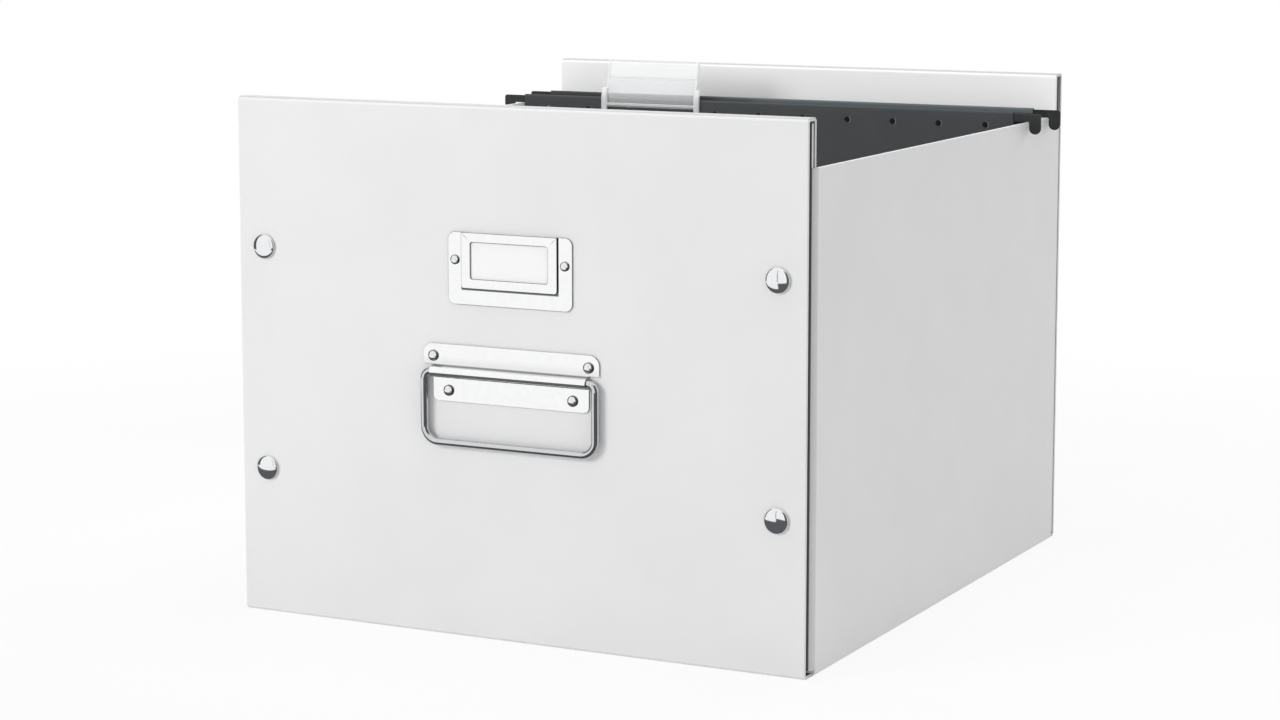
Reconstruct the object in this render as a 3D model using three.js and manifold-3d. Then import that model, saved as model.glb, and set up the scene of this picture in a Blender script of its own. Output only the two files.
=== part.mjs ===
// Hanging file box: a folded board box on whose lower side walls a suspension file hangs.
// Millimetres, +Z up. The origin is the middle of the base's underside and the front faces -Y.

import * as THREE from 'three';
import { mergeVertices } from 'three/addons/utils/BufferGeometryUtils.js';
import Module from 'manifold-3d';

const wasm = await Module();
wasm.setup();

// The board blank
const boxWidth = 330;
const boxDepth = 371;
const boxHeight = 278;
const railDrop = 24.5;
const board = 1.8;
const studSpace = 2.8;
const innerSpace = 1.8;
const sideProud = 1.5;
const flapLength = 34;
const flapHeadroom = 1.0;
const sideFoldRadius = 4;
const baseFoldRadius = 2.4;
const topFoldRadius = 2.2;
const innerFoldRadius = 0.4;
const cornerNotch = 3.5;
const boardPlay = 0.6;

// Press studs, four in the front wall and four in the back wall
const studInset = 15.5;
const studHeights = [79, 198.5];
const capRadius = 6.6;
const capHeight = 2.3;
const capRim = 0.5;
const shankRadius = 1.4;
const shankFlare = 0.3;
const socketRadius = 4.6;
const socketFloor = 0.4;
const socketDepth = 1.7;
const ballRadius = 1.9;
const ballNeck = 0.3;
const ballRound = 0.4;
const ballPlay = 0.1;
const studFlange = 0.4;
const studFlangeRadius = 4.2;
const postRadius = 1.1;
const postFlange = 0.5;
const postFlangeRadius = 3.8;

// Running and seating clearances
const seat = 0.2;
const boreGap = 0.2;
const wireGap = 0.3;

// Carrying handle on the front wall
const hingeHeight = 139.7;
const wireRadius = 2.1;
const wireEndGap = 0.8;
const bailReach = 36.9;
const bailArmX = 50;
const bailTopBend = 4;
const bailBottomBend = 8;
const bailStandOff = 0.4;
const plateSheet = 0.6;
const upperFlangeWidth = 103;
const upperFlangeRise = 14.3;
const upperFlangeCorner = 5.5;
const lowerFlangeWidth = 91;
const lowerFlangeDrop = 15.5;
const lowerFlangeCorner = 3;
const upperRivetInset = 6.1;
const upperRivetRise = 7.9;
const lowerRivetInset = 9.2;
const lowerRivetDrop = 9.8;
const handleRivetRadius = 2.9;
const handleRivetHeight = 1.5;
const rivetRim = 0.4;
const rivetTail = 0.7;
const rivetTailRadius = 2.2;
const rivetTailEdge = 0.4;

// Label holder on the front wall
const labelWidth = 72.4;
const labelBottom = 175.2;
const labelTop = 212.8;
const labelCorner = 4;
const labelSheet = 0.6;
const labelRivetX = 32;
const labelRivetZ = 198.4;
const labelRivetRadius = 2.5;
const labelRivetHeight = 1.2;
const frameWidth = 56;
const frameBottom = 183.8;
const frameCorner = 1.6;
const framePocket = 1.1;
const frameBevel = 0.5;
const windowWidth = 45;
const windowBottom = 188.9;
const windowTop = 207.8;
const windowCorner = 1.2;
const cardSheet = 0.3;
const cardMargin = 0.5;

// Suspension file hanging on the side walls
const barCentreX = -1.5;
const rearBarSetback = 28;
const barSpacing = 33.5;
const barThickness = 1.0;
const barHeight = 4.5;
const barNotchPlay = 2;
const barLegWidth = 7;
const barLegDrop = 6.8;
const barCorner = 1.5;
const barRest = 0.3;
const sheetCentreX = -2.5;
const sheetInset = 6.5;
const sheet = 0.5;
const hemDrop = 12;
const tunnelPlay = 0.3;
const fileBottom = 14;
const creaseRadius = 1.6;
const slotCount = 11;
const slotMargin = 16.5;
const slotOffset = -0.5;
const slotRadius = 1.5;
const slotDrop = 2.3;

// Clear tab with its card, hooked into two slots of the front sheet
const tabWidth = 66;
const tabInset = 2.4;
const tabFirstSlot = 2;
const tabHeight = 28;
const tabKnee = 6.6;
const tabLean = 11;
const tabWall = 0.6;
const tabPocket = 1.0;
const tabBackDrop = 19;
const tabEndWidth = 3.4;
const tabEndHeight = 11.5;
const tabEndDepth = 1.6;
const tabEndDrop = 3;
const tabLedge = 1.3;
const tabLedgeRise = 1.1;
const hookWidth = 2.2;
const hookHeight = 1.2;
const tabCardHeight = 9;
const tabCardMargin = 1;

// Facets, and how far a cut runs past the material
const roundSides = 20;
const smallSides = 12;
const wireSides = 10;
const domeSteps = 4;
const bendSteps = 6;
const foldSteps = 4;
const archSteps = 8;
const overshoot = 1;

const white = { color: 0xe9e9ea, roughness: 0.45, metalness: 0 };
const chrome = { color: 0xd8dadd, roughness: 0.12, metalness: 1 };
const paper = { color: 0xfafafa, roughness: 0.7, metalness: 0 };
const fileGrey = { color: 0x3f4142, roughness: 0.8, metalness: 0 };
const barGrey = { color: 0x2f3232, roughness: 0.5, metalness: 0 };
const clear = { color: 0xf2f4f5, roughness: 0.15, metalness: 0, transparent: true, opacity: 0.4 };

// Derived places
const railHeight = boxHeight - railDrop;
const front = -boxDepth / 2;
const back = boxDepth / 2;
const flapOuter = board + studSpace;
const flapInner = flapOuter + board;
const wallDepth = flapInner + innerSpace + board;
const sideFace = boxWidth / 2 + sideProud;
const studX = boxWidth / 2 - studInset;
const channelInner = wireRadius + wireGap;
const channelOuter = channelInner + plateSheet;
const hingeOut = wireRadius + bailStandOff;
const upperRivetX = upperFlangeWidth / 2 - upperRivetInset;
const lowerRivetX = lowerFlangeWidth / 2 - lowerRivetInset;
const handleRivets = [
  { name: 'upper_left', x: -upperRivetX, z: hingeHeight + upperRivetRise },
  { name: 'upper_right', x: upperRivetX, z: hingeHeight + upperRivetRise },
  { name: 'lower_left', x: -lowerRivetX, z: hingeHeight - lowerRivetDrop },
  { name: 'lower_right', x: lowerRivetX, z: hingeHeight - lowerRivetDrop },
];

function mesh(name, geometry, finish) {
  const made = new THREE.Mesh(geometry, new THREE.MeshStandardMaterial(finish));
  made.name = name;
  return made;
}

function solid(geometry) {
  const bare = geometry.clone();
  bare.deleteAttribute('normal');
  bare.deleteAttribute('uv');
  const merged = mergeVertices(bare);
  const vertProperties = merged.attributes.position.array;
  const triVerts = Uint32Array.from(merged.index.array);
  return new wasm.Manifold(new wasm.Mesh({ numProp: 3, vertProperties, triVerts }));
}

function surface(body) {
  const { vertProperties, triVerts } = body.getMesh();
  const geometry = new THREE.BufferGeometry();
  geometry.setAttribute('position', new THREE.BufferAttribute(vertProperties, 3));
  geometry.setIndex(new THREE.BufferAttribute(triVerts, 1));
  geometry.computeVertexNormals();
  return geometry;
}

function union(bodies) {
  return bodies.reduce((whole, body) => whole.add(body));
}

function block(x0, x1, y0, y1, z0, z1) {
  const geometry = new THREE.BoxGeometry(x1 - x0, y1 - y0, z1 - z0);
  geometry.translate((x0 + x1) / 2, (y0 + y1) / 2, (z0 + z1) / 2);
  return solid(geometry);
}

function extrude(shape, depth, curveSegments = bendSteps) {
  return new THREE.ExtrudeGeometry(shape, { depth, bevelEnabled: false, curveSegments });
}

// A section drawn in (y, z), drawn out along X
function alongX(shape, x0, x1, curveSegments) {
  const geometry = extrude(shape, x1 - x0, curveSegments);
  const turn = new THREE.Matrix4().makeBasis(
    new THREE.Vector3(0, 1, 0),
    new THREE.Vector3(0, 0, 1),
    new THREE.Vector3(1, 0, 0),
  );
  geometry.applyMatrix4(turn);
  geometry.translate(x0, 0, 0);
  return geometry;
}

// An outline drawn in (x, z), drawn out along Y
function alongY(shape, y0, y1, curveSegments) {
  const geometry = extrude(shape, y1 - y0, curveSegments);
  geometry.rotateX(Math.PI / 2);
  geometry.translate(0, y1, 0);
  return geometry;
}

function alongZ(shape, z0, z1, curveSegments) {
  const geometry = extrude(shape, z1 - z0, curveSegments);
  geometry.translate(0, 0, z0);
  return geometry;
}

function pinY(x, z, y0, y1, radius) {
  const geometry = new THREE.CylinderGeometry(radius, radius, y1 - y0, smallSides);
  geometry.translate(x, (y0 + y1) / 2, 0);
  geometry.translate(0, 0, z);
  return solid(geometry);
}

function polygon(points) {
  return new THREE.Shape(points.map(([x, y]) => new THREE.Vector2(x, y)));
}

function mirrored(body) {
  return body.mirror([1, 0, 0]);
}

// Base, front wall and back wall: one strip of board, rolled over at the top of each wall.
// The outline runs up the inner face of the front wall, over its top and on to the back wall.
function foldedStrip() {
  const top = boxHeight;
  const inTop = top - board;
  const free = board + boardPlay;
  const r = topFoldRadius;
  const ri = innerFoldRadius;
  const rb = baseFoldRadius;
  const quarter = Math.PI / 2;
  const path = new THREE.Shape();
  path.moveTo(front + wallDepth, free);
  path.lineTo(front + wallDepth, top - r);
  path.absarc(front + wallDepth - r, top - r, r, 0, quarter);
  path.lineTo(front + r, top);
  path.absarc(front + r, top - r, r, quarter, 2 * quarter);
  path.lineTo(front, rb);
  path.absarc(front + rb, rb, rb, 2 * quarter, 3 * quarter);
  path.lineTo(back - rb, 0);
  path.absarc(back - rb, rb, rb, 3 * quarter, 4 * quarter);
  path.lineTo(back, top - r);
  path.absarc(back - r, top - r, r, 0, quarter);
  path.lineTo(back - wallDepth + r, top);
  path.absarc(back - wallDepth + r, top - r, r, quarter, 2 * quarter);
  path.lineTo(back - wallDepth, free);
  path.lineTo(back - wallDepth + board, free);
  path.lineTo(back - wallDepth + board, inTop - ri);
  path.absarc(back - wallDepth + board + ri, inTop - ri, ri, 2 * quarter, quarter, true);
  path.lineTo(back - board - ri, inTop);
  path.absarc(back - board - ri, inTop - ri, ri, quarter, 0, true);
  path.lineTo(back - board, board + ri);
  path.absarc(back - board - ri, board + ri, ri, 0, -quarter, true);
  path.lineTo(front + board + ri, board);
  path.absarc(front + board + ri, board + ri, ri, 3 * quarter, 2 * quarter, true);
  path.lineTo(front + board, inTop - ri);
  path.absarc(front + board + ri, inTop - ri, ri, 2 * quarter, quarter, true);
  path.lineTo(front + wallDepth - board - ri, inTop);
  path.absarc(front + wallDepth - board - ri, inTop - ri, ri, quarter, 0, true);
  path.lineTo(front + wallDepth - board, free);
  const half = boxWidth / 2;
  const strip = solid(alongX(path, -half, half, foldSteps));

  // The inner boards are narrower where they stand between the side walls
  const innerHalf = Math.min(half, sideFace - board - boardPlay);
  const near = wallDepth - board - boardPlay / 2;
  const far = wallDepth + boardPlay / 2;
  const low = board + boardPlay / 2;
  const high = railHeight + boardPlay;
  const notches = [];
  for (const [y0, y1] of [[front + near, front + far], [back - far, back - near]]) {
    notches.push(block(innerHalf, half + overshoot, y0, y1, low, high));
    notches.push(block(-half - overshoot, -innerHalf, y0, y1, low, high));
  }
  return strip.subtract(union(notches));
}

// Side walls: the base turns up into them, and their ends turn in behind the outer front and
// back boards as flaps that stand as high as the front wall allows.
function sideWalls() {
  const rb = baseFoldRadius;
  const section = new THREE.Shape();
  section.moveTo(-sideFace, railHeight);
  section.lineTo(-sideFace, rb);
  section.absarc(-sideFace + rb, rb, rb, Math.PI, Math.PI * 1.5);
  section.lineTo(sideFace - rb, 0);
  section.absarc(sideFace - rb, rb, rb, Math.PI * 1.5, Math.PI * 2);
  section.lineTo(sideFace, railHeight);
  section.lineTo(sideFace - board, railHeight);
  section.lineTo(sideFace - board, board);
  section.lineTo(board - sideFace, board);
  section.lineTo(board - sideFace, railHeight);
  const bend = flapOuter + sideFoldRadius;
  return solid(alongY(section, front + bend, back - bend, foldSteps));
}

function cornerFlap() {
  const r = sideFoldRadius;
  const freeEnd = boxWidth / 2 - flapLength;
  const overlap = board;
  const y = front + flapOuter;
  const section = new THREE.Shape();
  section.moveTo(freeEnd, y);
  section.lineTo(sideFace - r, y);
  section.absarc(sideFace - r, y + r, r, -Math.PI / 2, 0);
  section.lineTo(sideFace, y + r + overlap);
  section.lineTo(sideFace - board, y + r + overlap);
  section.lineTo(sideFace - board, y + r);
  section.absarc(sideFace - r, y + r, r - board, 0, -Math.PI / 2, true);
  section.lineTo(freeEnd, y + board);
  const fold = solid(alongZ(section, cornerNotch, railHeight));
  const flapTop = boxHeight - board - flapHeadroom;
  const upper = block(freeEnd, boxWidth / 2, y, y + board, railHeight - board, flapTop);
  return fold.add(upper);
}

function boxBody() {
  const right = cornerFlap();
  const rearRight = right.mirror([0, 1, 0]);
  const flaps = [right, rearRight, mirrored(right), mirrored(rearRight)];
  const blank = union([foldedStrip(), sideWalls(), ...flaps]);
  const cuts = [];
  const hole = (x, z, y0, y1, radius) => {
    cuts.push(pinY(x, z, y0 - overshoot, y1 + overshoot, radius + boreGap));
  };
  for (const x of [-studX, studX]) {
    for (const z of studHeights) {
      hole(x, z, front, front + board, shankRadius);
      hole(x, z, back - board, back, shankRadius);
      hole(x, z, front + flapOuter, front + flapInner, postRadius);
      hole(x, z, back - flapInner, back - flapOuter, postRadius);
    }
  }
  for (const { x, z } of handleRivets) {
    hole(x, z, front, front + board, shankRadius);
  }
  for (const x of [-labelRivetX, labelRivetX]) {
    hole(x, labelRivetZ, front, front + board, shankRadius);
  }
  return mesh('box_body', surface(blank.subtract(union(cuts))), white);
}

// Turned pieces: a profile of (radius, height out of the board), spun about the outward axis
function turned(name, profile, finish, sides) {
  const points = profile.map(([r, h]) => new THREE.Vector2(r, h));
  const geometry = new THREE.LatheGeometry(points, sides);
  geometry.rotateX(Math.PI / 2);
  const made = mesh(name, geometry, finish);
  made.geometry.deleteAttribute('uv');
  return made;
}

// A domed head's profile from its rim to its crown
function dome(radius, height, rim) {
  const points = [[radius - rim / 2, seat], [radius, seat + rim / 2]];
  for (let i = 1; i < domeSteps; i += 1) {
    const angle = (i / domeSteps) * (Math.PI / 2);
    points.push([radius * Math.cos(angle), seat + rim + (height - rim) * Math.sin(angle)]);
  }
  points.push([0, seat + height]);
  return points;
}

// A press stud: cap and socket hold the outer board, stud and post hold the flap behind it
function pressStud(name) {
  const group = new THREE.Group();
  const socketTop = -board - seat;
  const cavity = socketTop - socketFloor;
  const flare = cavity - boreGap;
  const cap = [
    [0, flare - shankFlare],
    [ballRadius, flare - shankFlare],
    [ballRadius, flare],
    [shankRadius, flare],
    [shankRadius, seat],
    ...dome(capRadius, capHeight, capRim),
  ];
  group.add(turned(`${name}_cap`, cap, chrome, roundSides));

  const socketEnd = socketTop - socketDepth;
  const bore = shankRadius + boreGap;
  const cup = ballRadius + boreGap + ballPlay;
  const socket = [
    [bore, socketTop],
    [bore, cavity],
    [cup, cavity],
    [cup, socketEnd],
    [socketRadius, socketEnd],
    [socketRadius, socketTop],
    [bore, socketTop],
  ];
  group.add(turned(`${name}_socket`, socket, chrome, smallSides));

  const flangeBack = -flapOuter + seat;
  const flangeFront = flangeBack + studFlange;
  const ballTop = flare - shankFlare - boreGap;
  const pinBore = postRadius + boreGap;
  const pinEnd = ballTop - studFlange;
  const stud = [
    [0, pinEnd],
    [pinBore, pinEnd],
    [pinBore, flangeBack],
    [studFlangeRadius, flangeBack],
    [studFlangeRadius, flangeFront],
    [ballRadius - ballNeck, flangeFront],
    [ballRadius, (flangeFront + ballTop) / 2],
    [ballRadius - ballRound, ballTop],
    [0, ballTop],
  ];
  group.add(turned(`${name}_stud`, stud, chrome, smallSides));

  const postBack = -flapInner - seat;
  const post = [
    [0, postBack - postFlange],
    [postFlangeRadius, postBack - postFlange],
    [postFlangeRadius, postBack],
    [postRadius, postBack],
    [postRadius, pinEnd - boreGap],
    [0, pinEnd - boreGap],
  ];
  group.add(turned(`${name}_post`, post, chrome, smallSides));
  return group;
}

// Hardware on a wall is set out in (x, height, outward) and turned to face out of the box
function wall(turn) {
  const facing = new THREE.Group();
  facing.rotation.z = turn;
  const plane = new THREE.Group();
  plane.position.y = front;
  plane.rotation.x = Math.PI / 2;
  facing.add(plane);
  return { facing, plane };
}

function addPressStuds(plane, wallName) {
  for (const [side, x] of [['left', -studX], ['right', studX]]) {
    for (const [level, z] of [['lower', studHeights[0]], ['upper', studHeights[1]]]) {
      const stud = pressStud(`${wallName}_${level}_${side}`);
      stud.position.set(x, z, 0);
      plane.add(stud);
    }
  }
}

function rivet(name, x, z, sheetUnder, radius, height) {
  const under = sheetUnder + seat;
  const head = dome(radius, height, rivetRim).map(([r, h]) => [r, h + under]);
  const tailTop = -board - seat;
  const profile = [
    [0, tailTop - rivetTail],
    [rivetTailRadius - rivetTailEdge, tailTop - rivetTail],
    [rivetTailRadius, tailTop],
    [shankRadius, tailTop],
    [shankRadius, under + seat],
    ...head,
  ];
  const made = turned(name, profile, chrome, smallSides + 2);
  made.position.set(x, z, 0);
  return made;
}

function roundedOutline(x0, x1, y0, y1, lowerCorner, upperCorner) {
  const q = Math.PI / 2;
  const shape = new THREE.Shape();
  const corner = (x, y, r, from) => {
    if (r > 0) {
      shape.absarc(x, y, r, from, from + q);
    } else {
      shape.lineTo(x, y);
    }
  };
  shape.moveTo(x0 + lowerCorner, y0);
  corner(x1 - lowerCorner, y0 + lowerCorner, lowerCorner, -q);
  corner(x1 - upperCorner, y1 - upperCorner, upperCorner, 0);
  corner(x0 + upperCorner, y1 - upperCorner, upperCorner, q);
  if (lowerCorner > 0) {
    corner(x0 + lowerCorner, y0 + lowerCorner, lowerCorner, 2 * q);
  }
  return shape;
}

function pinOut(x, y, z0, z1, radius) {
  const geometry = new THREE.CylinderGeometry(radius, radius, z1 - z0, smallSides);
  geometry.rotateX(Math.PI / 2);
  geometry.translate(x, y, (z0 + z1) / 2);
  return solid(geometry);
}

// One pressed sheet: wide upper flange, half-round channel for the wire, narrower lower flange
function handlePlate() {
  const up = upperFlangeRise;
  const down = -lowerFlangeDrop;
  const under = seat;
  const over = seat + plateSheet;
  const section = new THREE.Shape();
  section.moveTo(up, under);
  section.lineTo(up, over);
  section.lineTo(channelOuter, over);
  section.lineTo(channelOuter, hingeOut);
  section.absarc(0, hingeOut, channelOuter, 0, Math.PI);
  section.lineTo(-channelOuter, over);
  section.lineTo(down, over);
  section.lineTo(down, under);
  section.lineTo(-channelInner, under);
  section.lineTo(-channelInner, hingeOut);
  section.absarc(0, hingeOut, channelInner, Math.PI, 0, true);
  section.lineTo(channelInner, under);
  const wide = upperFlangeWidth / 2;
  const strip = solid(alongX(section, -wide, wide, archSteps));

  const q = Math.PI / 2;
  const low = lowerFlangeWidth / 2;
  const step = channelOuter + seat;
  const lowCorner = lowerFlangeCorner;
  const topCorner = upperFlangeCorner;
  const outline = new THREE.Shape();
  outline.moveTo(lowCorner - low, down);
  outline.absarc(low - lowCorner, down + lowCorner, lowCorner, -q, 0);
  outline.lineTo(low, step);
  outline.lineTo(wide, step);
  outline.absarc(wide - topCorner, up - topCorner, topCorner, 0, q);
  outline.absarc(topCorner - wide, up - topCorner, topCorner, q, 2 * q);
  outline.lineTo(-wide, step);
  outline.lineTo(-low, step);
  outline.absarc(lowCorner - low, down + lowCorner, lowCorner, 2 * q, 3 * q);
  const blank = solid(alongZ(outline, -overshoot, hingeOut + channelOuter + overshoot));
  const holes = handleRivets.map(({ x, z }) => (
    pinOut(x, z - hingeHeight, -overshoot, over + overshoot, shankRadius + boreGap)
  ));
  const plate = blank.intersect(strip).subtract(union(holes));
  const made = mesh('handle_plate', surface(plate), chrome);
  made.position.set(0, hingeHeight, 0);
  return made;
}

// Centre line of the bail: from the middle of the channel round the loop and back to the channel.
// Each stretch has its own steps, so the bends are as fine as the straights are sparse.
class BailLine extends THREE.Curve {
  constructor() {
    super();
    const a = bailArmX;
    const t = bailTopBend;
    const b = bailBottomBend;
    const foot = -bailReach;
    const q = Math.PI / 2;
    this.stretches = [
      this.straight(wireEndGap / 2, 0, a - t, 0),
      this.bend(a - t, -t, t, q),
      this.straight(a, -t, a, foot + b),
      this.bend(a - b, foot + b, b, 0),
      this.straight(a - b, foot, b - a, foot),
      this.bend(b - a, foot + b, b, -q),
      this.straight(-a, foot + b, -a, -t),
      this.bend(t - a, -t, t, -2 * q),
      this.straight(t - a, 0, -wireEndGap / 2, 0),
    ];
    this.steps = this.stretches.reduce((sum, stretch) => sum + stretch.steps, 0);
  }

  straight(x0, y0, x1, y1) {
    return { steps: 2, at: (s) => [x0 + (x1 - x0) * s, y0 + (y1 - y0) * s] };
  }

  bend(x, y, radius, from) {
    const angle = (s) => from - s * (Math.PI / 2);
    return {
      steps: bendSteps,
      at: (s) => [x + radius * Math.cos(angle(s)), y + radius * Math.sin(angle(s))],
    };
  }

  getUtoTmapping(u) {
    return u;
  }

  getPoint(t, target = new THREE.Vector3()) {
    let place = t * this.steps;
    let index = 0;
    while (index < this.stretches.length - 1 && place > this.stretches[index].steps) {
      place -= this.stretches[index].steps;
      index += 1;
    }
    const stretch = this.stretches[index];
    const [x, y] = stretch.at(Math.min(1, place / stretch.steps));
    return target.set(x, y, 0);
  }
}

function handleBail() {
  const line = new BailLine();
  const round = new THREE.Shape();
  round.absarc(0, 0, wireRadius, 0, 2 * Math.PI);
  const geometry = new THREE.ExtrudeGeometry(round, {
    steps: line.steps,
    extrudePath: line,
    curveSegments: wireSides,
    bevelEnabled: false,
  });
  const made = mesh('handle_bail', geometry, chrome);
  made.position.set(0, hingeHeight, hingeOut);
  return made;
}

// Pressed plate whose middle stands proud as a pocket, open at the top, with a window in it
function labelHolder() {
  const half = labelWidth / 2;
  const thick = seat + labelSheet;
  const proud = thick + framePocket;
  const outline = roundedOutline(-half, half, labelBottom, labelTop, labelCorner, labelCorner);
  const plate = solid(alongZ(outline, seat, thick));

  const frameHalf = frameWidth / 2;
  const base = roundedOutline(-frameHalf, frameHalf, frameBottom, labelTop, frameCorner, 0);
  const raised = new THREE.ExtrudeGeometry(base, {
    depth: framePocket,
    bevelThickness: frameBevel,
    bevelSize: frameBevel,
    bevelOffset: -frameBevel,
    bevelSegments: 1,
    curveSegments: foldSteps,
  });
  raised.translate(0, 0, proud - framePocket - frameBevel);
  const pocket = block(
    labelSheet - frameHalf,
    frameHalf - labelSheet,
    frameBottom + labelSheet,
    labelTop + overshoot,
    seat - overshoot,
    proud - labelSheet,
  );
  const opening = roundedOutline(
    -windowWidth / 2,
    windowWidth / 2,
    windowBottom,
    windowTop,
    windowCorner,
    windowCorner,
  );
  const holes = [-labelRivetX, labelRivetX].map((x) => (
    pinOut(x, labelRivetZ, -overshoot, proud, shankRadius + boreGap)
  ));
  const under = block(-half, half, labelBottom, labelTop, -proud, seat);
  const window = solid(alongZ(opening, -overshoot, proud + overshoot));
  const cuts = union([pocket, under, window, ...holes]);
  const body = plate.add(solid(raised)).subtract(cuts);
  return mesh('label_holder', surface(body), chrome);
}

function labelCard() {
  const half = frameWidth / 2 - labelSheet - cardMargin;
  const low = frameBottom + labelSheet + cardMargin;
  const pocketRoof = seat + framePocket;
  const geometry = new THREE.BoxGeometry(2 * half, labelTop - low, cardSheet);
  geometry.translate(0, (labelTop + low) / 2, pocketRoof - seat - cardSheet / 2);
  return mesh('label_card', geometry, paper);
}

// Suspension file
const rearBarY = back - rearBarSetback;
const frontBarY = rearBarY - barSpacing;
const barNotchHalf = sideFace + barNotchPlay;
const sheetWidth = 2 * (sideFace - sheetInset);
const slotPitch = (sheetWidth - 2 * slotMargin) / (slotCount - 1);
const barBottom = railHeight + barRest;
const barTop = barBottom + barHeight;
const tunnelHalf = barThickness / 2 + tunnelPlay;
const tunnelBottom = barBottom - tunnelPlay;
const tunnelTop = barTop + tunnelPlay;
const slotZ = tunnelBottom - slotDrop;

// Flat bar with a leg at each end that hangs outside the side wall
function folderBar(name, y) {
  const end = barNotchHalf + barLegWidth;
  const tip = railHeight - barLegDrop;
  const legRound = barLegWidth / 2;
  const q = Math.PI / 2;
  const shape = new THREE.Shape();
  shape.moveTo(-barNotchHalf, barBottom);
  shape.lineTo(barNotchHalf, barBottom);
  shape.lineTo(barNotchHalf, tip + legRound);
  shape.absarc(end - legRound, tip + legRound, legRound, Math.PI, 2 * Math.PI);
  shape.lineTo(end, barTop - barCorner);
  shape.absarc(end - barCorner, barTop - barCorner, barCorner, 0, q);
  shape.lineTo(barCorner - end, barTop);
  shape.absarc(barCorner - end, barTop - barCorner, barCorner, q, 2 * q);
  shape.lineTo(-end, tip + legRound);
  shape.absarc(legRound - end, tip + legRound, legRound, Math.PI, 2 * Math.PI);
  const half = barThickness / 2;
  const geometry = alongY(shape, y - half, y + half);
  geometry.translate(barCentreX, 0, 0);
  return mesh(name, geometry, barGrey);
}

// One sheet: a tunnel round each bar with its hem glued down, and two legs down to a crease
function folderSheet() {
  const x0 = sheetCentreX - sheetWidth / 2;
  const x1 = sheetCentreX + sheetWidth / 2;
  const creaseY = (frontBarY + rearBarY) / 2;
  const creaseZ = fileBottom + creaseRadius;
  const wide = tunnelHalf + sheet;
  const bodies = [];
  for (const [y, inward] of [[frontBarY, 1], [rearBarY, -1]]) {
    const loop = block(x0, x1, y - wide, y + wide, tunnelBottom - sheet, tunnelTop + sheet);
    const outerTop = y - inward * wide;
    const hemTop = y - inward * (wide - 2 * sheet);
    const outerFoot = creaseY - inward * creaseRadius;
    const innerFoot = outerFoot + inward * sheet;
    const slope = (outerFoot - outerTop) / (tunnelBottom - creaseZ);
    const hemFoot = tunnelBottom - hemDrop;
    const lean = slope * hemDrop;
    const leg = [
      [outerTop, tunnelBottom],
      [outerFoot, creaseZ],
      [innerFoot, creaseZ],
      [outerTop + inward * sheet, tunnelBottom],
    ];
    const hem = [
      [outerTop, tunnelBottom],
      [outerTop + lean, hemFoot],
      [hemTop + lean, hemFoot],
      [hemTop, tunnelBottom],
    ];
    for (const outline of [leg, hem]) {
      bodies.push(solid(alongX(polygon(inward > 0 ? outline : outline.reverse()), x0, x1)));
    }
    bodies.push(loop);
  }
  const crease = new THREE.Shape();
  crease.absarc(creaseY, creaseZ, creaseRadius, Math.PI, 2 * Math.PI);
  crease.absarc(creaseY, creaseZ, creaseRadius - sheet, 2 * Math.PI, Math.PI, true);
  bodies.push(solid(alongX(crease, x0, x1)));
  const cuts = [];
  for (const y of [frontBarY, rearBarY]) {
    const half = tunnelHalf;
    cuts.push(
      block(x0 - overshoot, x1 + overshoot, y - half, y + half, tunnelBottom, tunnelTop),
    );
    for (let i = 0; i < slotCount; i += 1) {
      const reach = wide + sheet;
      cuts.push(pinY(slotX(i), slotZ, y - reach, y + reach, slotRadius));
    }
  }
  return mesh('folder_sheet', surface(union(bodies).subtract(union(cuts))), fileGrey);
}

function slotX(i) {
  return sheetCentreX + slotOffset + (i - (slotCount - 1) / 2) * slotPitch;
}

// Clear tab, set out in (x, y back, z up) from the middle of its foot on the file's front face
const tabX = (slotX(tabFirstSlot) + slotX(tabFirstSlot + 1)) / 2;
const tabY = frontBarY - tunnelHalf - sheet - seat;
const leanAngle = (tabLean * Math.PI) / 180;
const leanRun = Math.tan(leanAngle);

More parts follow.
